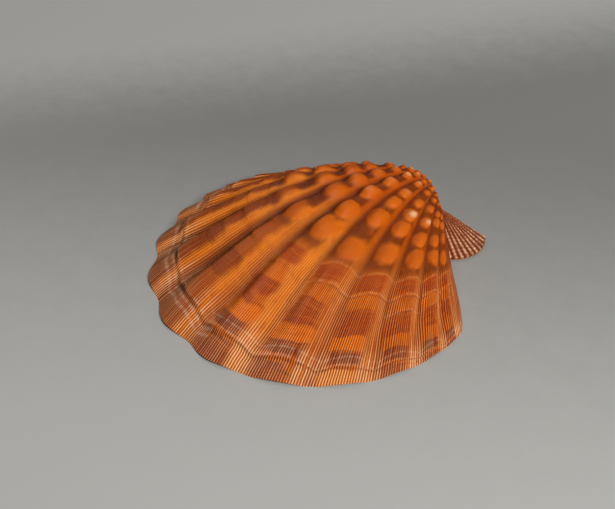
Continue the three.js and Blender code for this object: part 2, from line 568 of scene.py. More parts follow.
@dataclass
class Valve:
    """The whole valve: outer surface, inner surface and both ears, in one closed skin."""

    outline: Outline = field(default_factory=Outline)
    growth: Growth = field(default_factory=Growth)
    ribs: Ribs = field(default_factory=Ribs)
    knobs: Knobs = field(default_factory=Knobs)
    ledges: Ledges = field(default_factory=Ledges)
    cords: Cords = field(default_factory=Cords)
    wall: Wall = field(default_factory=Wall)
    beak: tuple[float, float] = (-2.905, 63.52)
    disc_columns: int = 880
    side_columns: int = 36
    ear_columns: int = 52
    grown_rows: int = 66
    young_rows: int = 46
    beak_rows: int = 11
    inner_rows: int = 36
    thinning: int = 4
    ear_thinning: int = 2
    split_line: float = 0.44
    beak_line: float = 0.15
    first_line: float = 0.004
    ledge_density: float = 1.3
    inner_power: float = 0.55
    side_slope: float = 1.0
    ear_slope: float = 0.8
    measuring_steps: int = 4000

    def make_columns(self) -> Columns:
        """Lay out the columns: dense over the disc, where they have to carry the fine cords.

        Returns:
            The columns, with what every later step reads from them.
        """
        ribs, outline = self.ribs, self.outline
        outermost = (ribs.last + ribs.beyond, ribs.first - ribs.beyond)
        ends = [float(ribs.angle(np.array(edge))) for edge in outermost]
        left, right = outline.left, outline.right
        ear_left = np.linspace(-90.0, -left.notch_angle, self.ear_columns + 1)[:-1]
        side_left = self.even_angles(-left.notch_angle, ends[0], self.side_columns)[:-1]
        disc = self.even_angles(ends[0], ends[1], self.disc_columns)
        side_right = self.even_angles(ends[1], right.notch_angle, self.side_columns)[1:]
        ear_right = np.linspace(right.notch_angle, 90.0, self.ear_columns + 1)[1:]
        angle = np.concatenate([ear_left, side_left, disc, side_right, ear_right])
        region = np.array(
            [Region.EAR] * len(ear_left)
            + [Region.SIDE] * len(side_left)
            + [Region.DISC] * len(disc)
            + [Region.SIDE] * len(side_right)
            + [Region.EAR] * len(ear_right)
        )
        rib = ribs.number(angle)
        started, ended = [ease(angle, end - self.side_slope, end + self.side_slope) for end in ends]
        weight = started * (1.0 - ended)
        reach = outline.reach(angle) + ribs.lobes(rib) * weight
        edge = np.stack([reach * np.sin(np.radians(angle)), reach * np.cos(np.radians(angle))], axis=-1)
        along = np.gradient(edge, axis=0)
        along /= np.linalg.norm(along, axis=1, keepdims=True)
        square = np.stack([-along[:, 1], along[:, 0]], axis=-1)
        radial = edge / np.linalg.norm(edge, axis=1, keepdims=True)
        outward = square + (radial - square) * weight[:, None]
        steps = np.concatenate([[0.0], np.linalg.norm(np.diff(edge, axis=0), axis=1)])
        place = np.cumsum(steps)
        first = len(ear_left) + len(side_left)
        spacing = (place[first + self.disc_columns] - place[first]) / self.disc_columns
        cord = (place - place[first]) / (spacing * self.cords.columns_each)
        ear = self.ear_weight(angle)
        notch = np.where(angle < 0.0, left.notch_angle, right.notch_angle)
        ear_place = np.clip((np.abs(angle) - notch) / (90.0 - notch), 0.0, 1.0)
        return Columns(angle, region, edge, outward, rib, weight, cord, ear, ear_place)

    def even_angles(self, start: float, end: float, count: int) -> np.ndarray:
        """Angles that cut a stretch of the margin into even lengths.

        Args:
            start: First angle in degrees.
            end: Last angle in degrees.
            count: How many lengths.

        Returns:
            One more angle than there are lengths, both ends included.
        """
        fine = np.linspace(start, end, self.measuring_steps)
        reach = self.outline.reach(fine)
        x, y = reach * np.sin(np.radians(fine)), reach * np.cos(np.radians(fine))
        length = np.concatenate([[0.0], np.cumsum(np.hypot(np.diff(x), np.diff(y)))])
        return np.interp(np.linspace(0.0, length[-1], count + 1), length, fine)

    def ear_weight(self, angle: np.ndarray) -> np.ndarray:
        """Tell the ears from the disc.

        Args:
            angle: Angles in degrees.

        Returns:
            1 on the ears and 0 on the disc, with a short slope along the straight sides.
        """
        notches = (self.outline.right.notch_angle, self.outline.left.notch_angle)
        right, left = [
            ease(sign * angle, notch - self.ear_slope, notch) for sign, notch in zip((1.0, -1.0), notches)
        ]
        return np.maximum(left, right)

    def smooth_outer(self, columns: Columns, stage: np.ndarray) -> np.ndarray:
        """The outer surface before any relief, rows of stages by columns."""
        side = stage * columns.edge[:, 0] * self.growth.spread(stage)
        return self.growth.place(side, stage * columns.edge[:, 1], self.growth.turn(stage))

    @staticmethod
    def normals(points: np.ndarray) -> np.ndarray:
        """Outward directions of a surface.

        Args:
            points: Its points in rows that run from the margin to the beak.

        Returns:
            A grid of unit vectors.
        """
        across = np.gradient(points, axis=1)
        inward = np.gradient(points, axis=0)
        normal = np.cross(across, inward)
        return normal / np.maximum(np.linalg.norm(normal, axis=-1, keepdims=True), 1e-12)

    def raised(
        self,
        points: np.ndarray,
        columns: Columns,
        stage: np.ndarray,
        height: np.ndarray,
    ) -> np.ndarray:
        """Raise relief on a surface, and arch it over the table at each rib.

        At the margin the relief is upright, so that the outline stays.

        Args:
            points: The surface in mm, rows by columns.
            columns: The columns of the grid.
            stage: Growth stages of its points.
            height: Height of the relief at each point.

        Returns:
            The raised points.
        """
        normal = self.normals(self.smooth_outer(columns, stage))
        sideways = 1.0 - ease(stage, self.ribs.fade_start, 1.0)
        share = np.stack([sideways, sideways, np.ones_like(sideways)], axis=-1)
        points = points + normal * share * height[..., None]
        points[..., 2] += self.ribs.lift(columns.rib, stage) * columns.weight
        return points

    def outer(self, columns: Columns, lines: np.ndarray) -> Sheet:
        """The finished outer surface.

        Args:
            columns: The columns of the grid.
            lines: Growth lines that its rows follow.

        Returns:
            The sheet, rows by columns.
        """
        line = lines[:, None]
        stage = self.growth.stage(line, columns.rib)
        crest = self.ribs.crest(columns.rib)
        knobs, worn = self.knobs.shapes(columns.rib, line, self.ribs)
        height = self.ribs.grooves(columns.rib, stage)
        height = height + self.knobs.heights(knobs, columns.rib, line, self.ribs)
        height = height + self.ledges.heights(columns.rib, line, crest)
        points = self.smooth_outer(columns, stage)
        points = self.raised(points, columns, stage, height * columns.weight)
        on_disc = columns.region == Region.DISC
        cords = self.cords.disc_depth(columns.cord, line) * on_disc * columns.weight
        points = points + self.normals(points) * cords[..., None]
        beads = self.cords.ear_beads(columns.ear_place, np.linalg.norm(columns.edge, axis=1) * stage)
        carved = self.cords.ear_depth * (1.0 - beads) * ease(line, *self.cords.ear_lines)
        thick = self.wall.ear_thickness * ease(line, 0.0, self.wall.ear_thin_line)
        points[..., 2] += (thick - carved) * columns.ear
        points[..., 2] = np.maximum(points[..., 2], 0.0)
        raised = np.where(columns.ear > 0.5, beads, knobs * columns.weight)
        return self.sheet(points, columns, line, raised, worn * columns.weight, 0.0)

    def inner(self, columns: Columns, lines: np.ndarray) -> Sheet:
        """The finished inner surface: flat under ears and hinge plate, hollow and ribbed elsewhere.

        Args:
            columns: The columns of the grid.
            lines: Growth lines that its rows follow.

        Returns:
            The sheet, rows by columns.
        """
        wall, growth = self.wall, self.growth
        line = lines[:, None]
        stage = growth.stage(line, columns.rib)
        disc = columns.region != Region.EAR
        inset = wall.rim_width * stage / (stage + wall.thinning_stage) * disc
        side = stage * columns.edge[:, 0] * growth.spread(stage) - inset * columns.outward[:, 0]
        away = stage * columns.edge[:, 1] - inset * columns.outward[:, 1]
        thickening = wall.umbo_thickening * (1.0 - stage) ** 2 / (stage + wall.thinning_stage)
        turn = np.clip(growth.turn(stage) - thickening / self.outline.height, 0.0, wall.steepest)
        from_beak = np.hypot(side, away)
        hollow = ease(from_beak, wall.hinge_plate, wall.hinge_plate + wall.hinge_step) * disc
        middle = 1.0 - ease(np.abs(columns.angle), wall.pit_angle / 2.0, wall.pit_angle)
        points = growth.place(side, away, turn * hollow)
        points[..., 2] += wall.pit_depth * (1.0 - hollow) * middle * ease(from_beak, *wall.pit_edge)
        grooves = self.ribs.grooves(columns.rib, stage) * columns.weight * hollow
        points = self.raised(points, columns, stage, grooves)
        points[..., 2] = np.maximum(points[..., 2], 0.0)
        none = np.zeros(points.shape[:2])
        return self.sheet(points, columns, line, none, none, 1.0)

    @staticmethod
    def sheet(
        points: np.ndarray,
        columns: Columns,
        line: np.ndarray,
        raised: np.ndarray,
        worn: np.ndarray,
        inside: float,
    ) -> Sheet:
        """Gather a grid of points with the values its finish reads.

        Args:
            points: Points in mm, rows by columns.
            columns: The columns of the grid.
            line: Growth lines of the rows, as a column.
            raised: 1 on the tops of knobs and beads, 0 beside them.
            worn: How worn each point is.
            inside: 1 for the inner surface and 0 for the outer one.

        Returns:
            The sheet.
        """
        shape = points.shape[:2]
        values = {"line": line, "rib": columns.rib, "cord": columns.cord, "ear": columns.ear}
        values.update({"raised": raised, "worn": worn, "inside": np.array(inside)})
        return Sheet(points, {name: np.broadcast_to(grid, shape) for name, grid in values.items()})

    def grown_lines(self) -> np.ndarray:
        """Space the rows of the grown part, closer together at the sharper ledges.

        Returns:
            Their growth lines, from the margin to the split.
        """
        fine = np.linspace(1.0, self.split_line, self.measuring_steps // 2)
        density = np.ones_like(fine)
        for step in self.ledges.steps:
            near = bell(fine, step.line + step.run / 2.0, 2.0 * step.run)
            density += self.ledge_density * step.rise * near
        place = np.concatenate([[0.0], np.cumsum((density[1:] + density[:-1]) / 2.0)])
        return np.interp(np.linspace(0.0, place[-1], self.grown_rows + 1), place, fine)

    def young_lines(self, start: float) -> np.ndarray:
        """Space the rows of the young part, evenly over the knobs and closer together at the beak.

        Args:
            start: The first growth line.

        Returns:
            Their growth lines, down to the beak.
        """
        knobbed = np.linspace(start, self.beak_line, self.young_rows)
        roots = np.linspace(self.beak_line**0.5, self.first_line**0.5, self.beak_rows + 1)
        return np.concatenate([knobbed, roots[1:] ** 2])

    def inner_lines(self) -> np.ndarray:
        """Growth lines for the inner surface, from the margin to the beak."""
        power = self.inner_power
        return np.linspace(1.0, self.first_line**power, self.inner_rows + 1) ** (1.0 / power)

    def build(self) -> bpy.types.Object:
        """Make the valve's mesh and its object.

        Returns:
            The object, at the origin, with its place in its mesh.
        """
        fine = self.make_columns()
        coarse = fine.thinned(self.thinning, self.ear_thinning)
        grown = self.grown_lines()
        young = self.young_lines(2.0 * grown[-1] - grown[-2])
        shell = SkinBuilder()
        grids = [
            shell.add_sheet(self.outer(fine, grown)),
            shell.add_sheet(self.outer(coarse, young)),
            shell.add_sheet(self.inner(coarse, self.inner_lines())),
        ]
        shell.close(*grids, fine.stretches(), coarse.stretches())
        return shell.finish("valve_skin", self.beak)


class SkinBuilder:
    """Turns the outer and inner sheets into one closed mesh."""

    def __init__(self) -> None:
        """Start with an empty mesh."""
        self.bm = bmesh.new()
        self.values: list[dict[str, np.ndarray]] = []

    def add_sheet(self, sheet: Sheet) -> list:
        """Add one grid of points.

        Args:
            sheet: The grid's points and values.

        Returns:
            The grid's vertices as a list of rows.
        """
        rows, width = sheet.points.shape[:2]
        made = bmesh.ops.create_grid(self.bm, x_segments=width - 1, y_segments=rows - 1, size=1.0)
        verts = made["verts"]
        for vert, place in zip(verts, sheet.points.reshape(-1, 3).tolist()):
            vert.co = place
        self.values.append(sheet.values)
        return [verts[row * width:(row + 1) * width] for row in range(rows)]

    def bridge(self, chain: list, other: list) -> None:
        """Join two chains of vertices with a strip of faces.

        Args:
            chain: Vertices along one edge.
            other: Vertices along the other.
        """
        edges = []
        for line in (chain, other):
            for start, end in zip(line, line[1:]):
                edges.append(self.bm.edges.get((start, end)))
        bmesh.ops.bridge_loops(self.bm, edges=edges)

    def crease(self, start: bmesh.types.BMVert, end: bmesh.types.BMVert) -> None:
        """Shade the edge between two vertices as a sharp one.

        Args:
            start: One vertex.
            end: The other.
        """
        edge = self.bm.edges.get((start, end))
        if edge is not None:
            edge.smooth = False

    def close(self, grown: list, young: list, inner: list, fine: list, coarse: list) -> None:
        """Join the three sheets into one closed skin.

        Args:
            grown: Vertices of the fine outer sheet, as rows.
            young: Vertices of the coarse outer sheet, as rows.
            inner: Vertices of the inner sheet, as rows.
            fine: First and last column of each stretch of the fine sheet.
            coarse: The same for the coarse sheets.
        """
        for (fine_start, fine_end), (start, end) in zip(fine, coarse):
            for many, few in ((grown[-1], young[0]), (grown[0], inner[0])):
                self.bridge(many[fine_start:fine_end + 1], few[start:end + 1])
        self.bridge(young[-1], inner[-1])
        borders = [grown[0]]
        for side in (0, -1):
            outer_chain = [line[side] for line in grown + young]
            self.bridge(outer_chain, [line[side] for line in inner])
            borders.append(outer_chain)
        for border in borders:
            for start, end in zip(border, border[1:]):
                self.crease(start, end)

    def finish(self, name: str, beak: tuple[float, float]) -> bpy.types.Object:
        """Put the skin in its place and wrap it in an object.

        Args:
            name: Name of the piece.
            beak: The beak's place in the frame, in mm.

        Returns:
            The object.
        """
        bmesh.ops.translate(self.bm, vec=Vector((beak[0], beak[1], 0.0)), verts=self.bm.verts)
        bmesh.ops.scale(self.bm, vec=Vector((MM, MM, MM)), verts=self.bm.verts)
        bmesh.ops.recalc_face_normals(self.bm, faces=self.bm.faces)
        open_edges = sum(1 for edge in self.bm.edges if not edge.is_manifold)
        for face in self.bm.faces:
            face.smooth = True
        mesh = bpy.data.meshes.new(name)
        self.bm.to_mesh(mesh)
        self.bm.free()
        for value in self.values[0]:
            layer = mesh.attributes.new(value, "FLOAT", "POINT")
            grids = [values[value].ravel() for values in self.values]
            layer.data.foreach_set("value", np.concatenate(grids).astype(np.float32))
        piece = bpy.data.objects.new(name, mesh)
        bpy.context.scene.collection.objects.link(piece)
        triangles = sum(len(face.vertices) - 2 for face in mesh.polygons)
        log.info("%s: %d triangles, %d open edges", name, triangles, open_edges)
        return piece


class Recipe:
    """A material under construction: each method adds nodes and returns what comes out of them."""

    def __init__(self, name: str) -> None:
        """Start a material with the standard surface shader.

        Args:
            name: The material's name.
        """
        self.material = bpy.data.materials.new(name)
        self.material.use_nodes = True
        self.tree = self.material.node_tree
        self.shader = self.tree.nodes["Principled BSDF"]

    def node(self, kind: str, **settings: str | bool) -> bpy.types.Node:
        """Add a node.

        Args:
            kind: The end of its type's name.
            settings: Its properties, by name.

        Returns:
            The node.
        """
        node = self.tree.nodes.new("ShaderNode" + kind)
        for name, setting in settings.items():
            setattr(node, name, setting)
        return node

    def feed(self, socket: Socket, source: Source | Colour) -> None:
        """Link a socket to another one, or set its value.

        Args:
            socket: The socket that is fed.
            source: Another socket, a number or a colour.
        """
        if isinstance(source, Socket):
            self.tree.links.new(source, socket)
        elif isinstance(source, tuple) and len(socket.default_value) == 4:
            socket.default_value = (*source, 1.0)
        else:
            socket.default_value = source

    def feed_all(self, node: bpy.types.Node, sources: dict[int | str, Source | Colour]) -> None:
        """Feed some of a node's sockets.

        Args:
            node: The node.
            sources: What each socket gets, by its name or number.
        """
        for socket, source in sources.items():
            self.feed(node.inputs[socket], source)

    def value(self, name: str) -> Socket:
        """A value kept at the mesh's points, by its name."""
        return self.node("Attribute", attribute_name=name).outputs["Fac"]

    def place(self, scale: float) -> Socket:
        """Object coordinates.

        Args:
            scale: What they are multiplied by.

        Returns:
            The coordinates as a vector.
        """
        mapping = self.node("Mapping")
        mapping.inputs["Scale"].default_value = (scale, scale, scale)
        self.feed(mapping.inputs["Vector"], self.node("TexCoord").outputs["Object"])
        return mapping.outputs["Vector"]

    def math(self, operation: str, *sources: Source) -> Socket:
        """Arithmetic on one, two or three values.

        Args:
            operation: Its name.
            sources: The values.

        Returns:
            What comes of it.
        """
        node = self.node("Math", operation=operation)
        self.feed_all(node, dict(enumerate(sources)))
        return node.outputs[0]

    def product(self, *sources: Source) -> Source:
        """All the values multiplied together.

        Args:
            sources: The values.

        Returns:
            Their product.
        """
        total = sources[0]
        for source in sources[1:]:
            total = self.math("MULTIPLY", total, source)
        return total

    def moved(self, value: Socket, by: Socket, amount: float) -> Socket:
        """A value moved by an amount of another one."""
        return self.math("MULTIPLY_ADD", by, amount, value)

    def between(self, share: Socket, ends: Pair) -> Socket:
        """A number that is the first end where the share is 0 and the other where it is 1."""
        return self.math("MULTIPLY_ADD", share, ends[1] - ends[0], ends[0])

    def rise(self, value: Socket, span: Span) -> Socket:
        """Smooth step along a value.

        Args:
            value: The value.
            span: Where the step is 0 and where it is 1, which may be the lower one.

        Returns:
            The step, from 0 to 1.
        """
        node = self.node("MapRange", interpolation_type="SMOOTHSTEP")
        falls = float(span[1] < span[0])
        self.feed_all(node, {"Value": value, "From Min": min(span), "From Max": max(span)})
        self.feed_all(node, {"To Min": falls, "To Max": 1.0 - falls})
        return node.outputs["Result"]

    def band(self, value: Socket, span: Span, soft: float) -> Socket:
        """Pick a stretch of a value.

        Args:
            value: The value.
            span: Where the stretch starts and ends.
            soft: Width of its soft borders, which lie outside it.

        Returns:
            1 in the stretch and 0 beyond its borders.
        """
        start, end = span
        return self.product(self.rise(value, (start - soft, start)), self.rise(value, (end + soft, end)))

    def wave(self, phase: Socket) -> Socket:
        """1 at whole numbers and 0 halfway between them."""
        turned = self.math("COSINE", self.math("MULTIPLY", phase, 2.0 * math.pi))
        return self.math("MULTIPLY_ADD", turned, 0.5, 0.5)

    def noise(self, vector: Socket, detail: float, roughness: float) -> Socket:
        """Soft noise from about 0.3 to 0.7.

        Args:
            vector: Where it is read, with one blotch to each unit.
            detail: How many finer noises are added.
            roughness: How strong the finer ones are.

        Returns:
            The noise.
        """
        node = self.node("TexNoise")
        self.feed_all(node, {"Vector": vector, "Scale": 1.0, "Detail": detail, "Roughness": roughness})
        return node.outputs["Fac"]

    def cloud(self, cloud: Cloud) -> Socket:
        """Noise in space, by its blotches to each metre, its detail and its roughness."""
        return self.noise(self.place(cloud[0]), *cloud[1:])

    def grain(self, across: Socket, along: Socket, counts: Pair, seed: float = 0.0) -> Socket:
        """Noise that follows the shell's growth.

        Args:
            across: The value that runs across the ribs.
            along: The value that runs along them.
            counts: Blotches to each unit of the two values.
            seed: A number that tells one noise from another.

        Returns:
            The noise.
        """
        node = self.node("CombineXYZ")
        stretched = [self.math("MULTIPLY", value, count) for value, count in zip((across, along), counts)]
        self.feed_all(node, {"X": stretched[0], "Y": stretched[1], "Z": seed})
        return self.noise(node.outputs["Vector"], *PLAIN_NOISE)

    def centred(self, noise: Socket) -> Socket:
        """Noise spread to run from about -1 to 1."""
        return self.math("MULTIPLY_ADD", noise, 5.0, -2.5)

    def mix(self, share: Source, first: Socket | Colour, second: Socket | Colour) -> Socket:
        """Mix two colours.

        Args:
            share: How much of the second there is, from 0 to 1.
            first: The first colour.
            second: The second colour.

        Returns:
            The mixed colour.
        """
        node = self.node("Mix", data_type="RGBA", clamp_factor=True)
        self.feed_all(node, {"Factor": share, 6: first, 7: second})
        return node.outputs[2]

    def bump(self, height: Socket, distance: float) -> None:
        """Put fine relief in the shading.

        Args:
            height: The relief, from 0 to 1.
            distance: Its depth in metres.
        """
        node = self.node("Bump")
        self.feed_all(node, {"Distance": distance, "Height": height})
        self.feed(self.shader.inputs["Normal"], node.outputs["Normal"])

    def finish(self, colour: Socket, roughness: float) -> bpy.types.Material:
        """Give the shader its colour and roughness, and return the material."""
        self.feed_all(self.shader, {"Base Color": colour, "Roughness": roughness})
        return self.material


class Coat:
    """Layers of colour, each painted over those before it."""

    def __init__(self, recipe: Recipe, ground: Socket | Colour) -> None:
        """Start with a ground colour on a recipe."""
        self.recipe = recipe
        self.colour = ground

    def paint(self, colour: Socket | Colour, *shares: Source) -> None:
        """Paint a colour over the coat, as strongly as all the shares multiplied together."""
        self.colour = self.recipe.mix(self.recipe.product(*shares), self.colour, colour)


@dataclass
class Spot:
    """Where a point of the outer surface lies.

    It has its growth line, its rib and cord numbers, its offset from the nearest rib's middle, a soft
    waver for ragged borders, 1 for the rib tops and 1 for the far ribs, on the left.
    """

    line: Socket
    rib: Socket
    cord: Socket
    offset: Socket
    waver: Socket
    crest: Socket
    far: Socket


@dataclass(frozen=True)
class RibFinish:
    """Ground colours of the ribs: dark tops, bright flanks, the sides of the disc and soft smears, with
    painted shade on the far rib tops, in the far grooves and on the right side.
    """

    crest: Colour = (0.68, 0.14, 0.004)
    # Dark tops of the far ribs: their own dark colour, darkened further as painted shade where they face
    # away from the light. The same colour is painted as shade in the far grooves.
    far_crest_and_shade: Colour = (0.21, 0.032, 0.0012)
    flank: Colour = (0.76, 0.2, 0.009)
    right_flank: Colour = (0.47, 0.098, 0.007)
    young_flank: Colour = (0.5, 0.088, 0.003)
    margin_flank: Colour = (0.95, 0.36, 0.09)
    # Reddish-brown over the right side of the disc: partly its own colour, partly painted shade where that
    # side faces away from the light.
    side: Colour = (0.4, 0.08, 0.014)
    smear: Colour = (0.4, 0.055, 0.003)
    waver_counts: Pair = (2.0, 16.0)
    crest_waver: float = 0.05
    crest_span: Span = (-0.12, 0.36)
    crest_softness: float = 0.15
    far_ribs: Span = (3.9, 5.6)
    right_ribs: Span = (3.7, 2.3)
    young_lines: Span = (0.66, 0.48)
    young_slant: float = 0.012
    margin_lines: Span = (0.88, 0.95)
    margin_ribs: Span = (4.6, 3.8)
    margin_strength: float = 0.65
    groove_shade_span: Span = (0.28, 0.42)
    groove_shade_strength: float = 0.85
    side_ribs: Span = (-0.7, -1.15)
    side_strength: float = 0.75
    smear_cloud: Cloud = (75.0, 5.0, 0.65)
    smear_span: Span = (0.46, 0.62)
    smear_strength: Pair = (0.5, 0.2)
    streak_counts: Pair = (0.4, 24.0)
    streak_span: Span = (0.5, 0.68)
    streak_strength: float = 0.35

    def spot(self, recipe: Recipe) -> Spot:
        """Read where a point lies.

        Args:
            recipe: The material.

        Returns:
            The values that every layer of the outer surface reads.
        """
        line, rib, cord = [recipe.value(name) for name in ("line", "rib", "cord")]
        offset = recipe.math("WRAP", rib, 0.5, -0.5)
        waver = recipe.centred(recipe.grain(rib, line, self.waver_counts))
        aside = recipe.moved(offset, waver, self.crest_waver)
        crest = recipe.band(aside, self.crest_span, self.crest_softness)
        return Spot(line, rib, cord, offset, waver, crest, recipe.rise(rib, self.far_ribs))

    def ground(self, recipe: Recipe, spot: Spot) -> Coat:
        """Lay the ground colours.

        Args:
            recipe: The material.
            spot: Where the point lies.

        Returns:
            The coat for the next layers.
        """
        coat = Coat(recipe, self.flank)
        coat.paint(self.right_flank, recipe.rise(spot.rib, self.right_ribs))
        slanted = recipe.moved(spot.line, spot.rib, self.young_slant)
        coat.paint(self.young_flank, recipe.rise(slanted, self.young_lines))
        margin = recipe.rise(spot.line, self.margin_lines)
        coat.paint(self.margin_flank, margin, recipe.rise(spot.rib, self.margin_ribs), self.margin_strength)
        # Rib tops, darker on the far ribs: their own dark colour with painted shade where they face away
        # from the light.
        coat.paint(recipe.mix(spot.far, self.crest, self.far_crest_and_shade), spot.crest)
        # Painted shade in the grooves of the far ribs, where the far flanks lie in shadow.
        groove = recipe.rise(recipe.math("ABSOLUTE", spot.offset), self.groove_shade_span)
        coat.paint(self.far_crest_and_shade, groove, spot.far, self.groove_shade_strength)
        # Right side of the disc: its own reddish-brown, darkened as painted shade.
        coat.paint(self.side, recipe.rise(spot.rib, self.side_ribs), self.side_strength)
        smears = recipe.rise(recipe.cloud(self.smear_cloud), self.smear_span)
        coat.paint(self.smear, smears, recipe.between(spot.far, self.smear_strength))
        streaks = recipe.grain(spot.cord, spot.line, self.streak_counts)
        coat.paint(self.smear, recipe.rise(streaks, self.streak_span), self.streak_strength)
        return coat


@dataclass(frozen=True)
class KnobFinish:
    """Bright knobs, dark troughs and groove floors, and pale worn tips, on the young part. The dark of the
    troughs and groove floors is partly the shell's own colour and partly painted shade in these hollows.
    """

    knob: Colour = (0.59, 0.112, 0.003)
    # Dark brown of the troughs and groove floors: partly the shell's own colour, partly painted shade in the
    # hollows.
    trough: Colour = (0.12, 0.017, 0.001)
    worn: Colour = (0.86, 0.56, 0.3)
    ragged_cloud: Cloud = (220.0, 2.0, 0.5)
    raggedness: float = 0.1
    young_lines: Span = (0.68, 0.63)
    knob_span: Span = (0.0, 0.85)
    knob_strength: Pair = (1.0, 0.4)
    low_span: Span = (0.45, -0.05)
    low_strength: float = 0.85
    trough_span: Span = (-0.2, 0.42)
    trough_softness: float = 0.12
    trough_strength: Pair = (0.25, 1.0)
    floor_span: Span = (0.38, 0.49)
    floor_lines: Span = (0.95, 0.5)
    floor_strength: Pair = (0.35, 0.55)
    tip_span: Span = (0.6, 1.0)
    tip_lines: Span = (0.38, 0.25)
    tip_strength: float = 0.45
    worn_span: Span = (0.1, 1.0)

    def paint(self, recipe: Recipe, coat: Coat, spot: Spot) -> None:
        """Paint the knobs and what lies between them: dark troughs and groove floors, partly own colour and
        partly painted shade.

        Args:
            recipe: The material.
            coat: The coat so far.
            spot: Where the point lies.
        """
        ragged = recipe.centred(recipe.cloud(self.ragged_cloud))
        raised = recipe.moved(recipe.value("raised"), ragged, self.raggedness)
        young = recipe.rise(spot.line, self.young_lines)
        strength = recipe.between(spot.far, self.knob_strength)
        coat.paint(self.knob, young, recipe.rise(raised, self.knob_span), strength)
        # Dark between the knobs: partly own colour, partly painted shade in the troughs.
        trough = recipe.band(spot.offset, self.trough_span, self.trough_softness)
        across = recipe.between(trough, self.trough_strength)
        coat.paint(self.trough, recipe.rise(raised, self.low_span), young, across, self.low_strength)
        # Dark groove floors between the ribs: partly own colour, partly painted shade in the creases.
        floor = recipe.rise(recipe.math("ABSOLUTE", spot.offset), self.floor_span)
        depth = recipe.between(recipe.rise(spot.line, self.floor_lines), self.floor_strength)
        coat.paint(self.trough, floor, depth)
        tips = recipe.rise(raised, self.tip_span)
        coat.paint(self.worn, tips, recipe.rise(spot.line, self.tip_lines), self.tip_strength)
        coat.paint(self.worn, recipe.rise(recipe.value("worn"), self.worn_span))


@dataclass(frozen=True)
class Row:
    """A row of blotches across the rib tops: its growth lines, its ribs, its strength and its colour."""

    lines: Span
    ribs: Span
    strength: float
    colour: Colour


@dataclass(frozen=True)
class BlotchFinish:
    """Rows of blotches on the rib tops, mostly dark, with fine growth lines in them."""

    rows: tuple[Row, ...] = (
        Row((0.735, 0.77), (1.6, 4.5), 0.2, (0.74, 0.15, 0.004)),
        Row((0.86, 0.893), (1.6, 4.5), 0.75, (0.84, 0.18, 0.006)),
        Row((0.955, 1.0), (1.4, 2.9), 0.7, (0.98, 0.4, 0.09)),
        Row((0.672, 0.712), (-1.5, 4.5), 0.85, (0.37, 0.042, 0.003)),
        Row((0.782, 0.848), (-1.5, 4.5), 0.92, (0.37, 0.044, 0.004)),
        Row((0.79, 0.85), (4.5, 8.5), 0.5, (0.15, 0.018, 0.004)),
        Row((0.902, 0.934), (-1.5, 4.5), 0.85, (0.17, 0.028, 0.016)),
        Row((0.955, 1.0), (2.6, 4.5), 0.75, (0.2, 0.036, 0.014)),
        Row((0.955, 1.0), (-1.5, 1.5), 0.6, (0.2, 0.036, 0.02)),
    )
    old_growth: Colour = (0.26, 0.056, 0.014)
    old_lines: Span = (0.935, 0.95)
    old_ribs: Span = (4.4, 5.4)
    old_strength: float = 0.75
    waver: float = 0.007
    patch_counts: Pair = (1.1, 9.0)
    patch_seed: float = 4.0
    patch_span: Span = (0.28, 0.38)
    fine_counts: Pair = (1.2, 150.0)
    fine_seed: float = 9.0
    fine_span: Span = (0.64, 0.5)
    fine_strength: Pair = (0.5, 1.0)
    line_softness: float = 0.008
    rib_softness: float = 0.02

    def paint(self, recipe: Recipe, coat: Coat, spot: Spot) -> None:
        """Paint the rows, and the dark old growth at the ends of the far ribs.

        Args:
            recipe: The material.
            coat: The coat so far.
            spot: Where the point lies.
        """
        line = recipe.moved(spot.line, spot.waver, self.waver)
        chance = recipe.grain(spot.rib, line, self.patch_counts, self.patch_seed)
        patch = recipe.rise(chance, self.patch_span)
        fine = recipe.grain(spot.rib, line, self.fine_counts, self.fine_seed)
        lines = recipe.between(recipe.rise(fine, self.fine_span), self.fine_strength)
        for row in self.rows:
            along = recipe.band(line, row.lines, self.line_softness)
            among = recipe.band(spot.rib, row.ribs, self.rib_softness)
            coat.paint(row.colour, along, among, spot.crest, row.strength, patch, lines)
        old = recipe.rise(line, self.old_lines)
        coat.paint(self.old_growth, old, recipe.rise(spot.rib, self.old_ribs), spot.crest, self.old_strength)


@dataclass(frozen=True)
class Edge:
    """A thin line along a growth line: where it runs, the ribs that show it, its strength and its colour.
    Some pale ones are painted highlights on the ledges' edges, and the dark ones are painted shadow under
    the ledges.
    """

    line: float
    ribs: Span
    strength: float
    colour: Colour


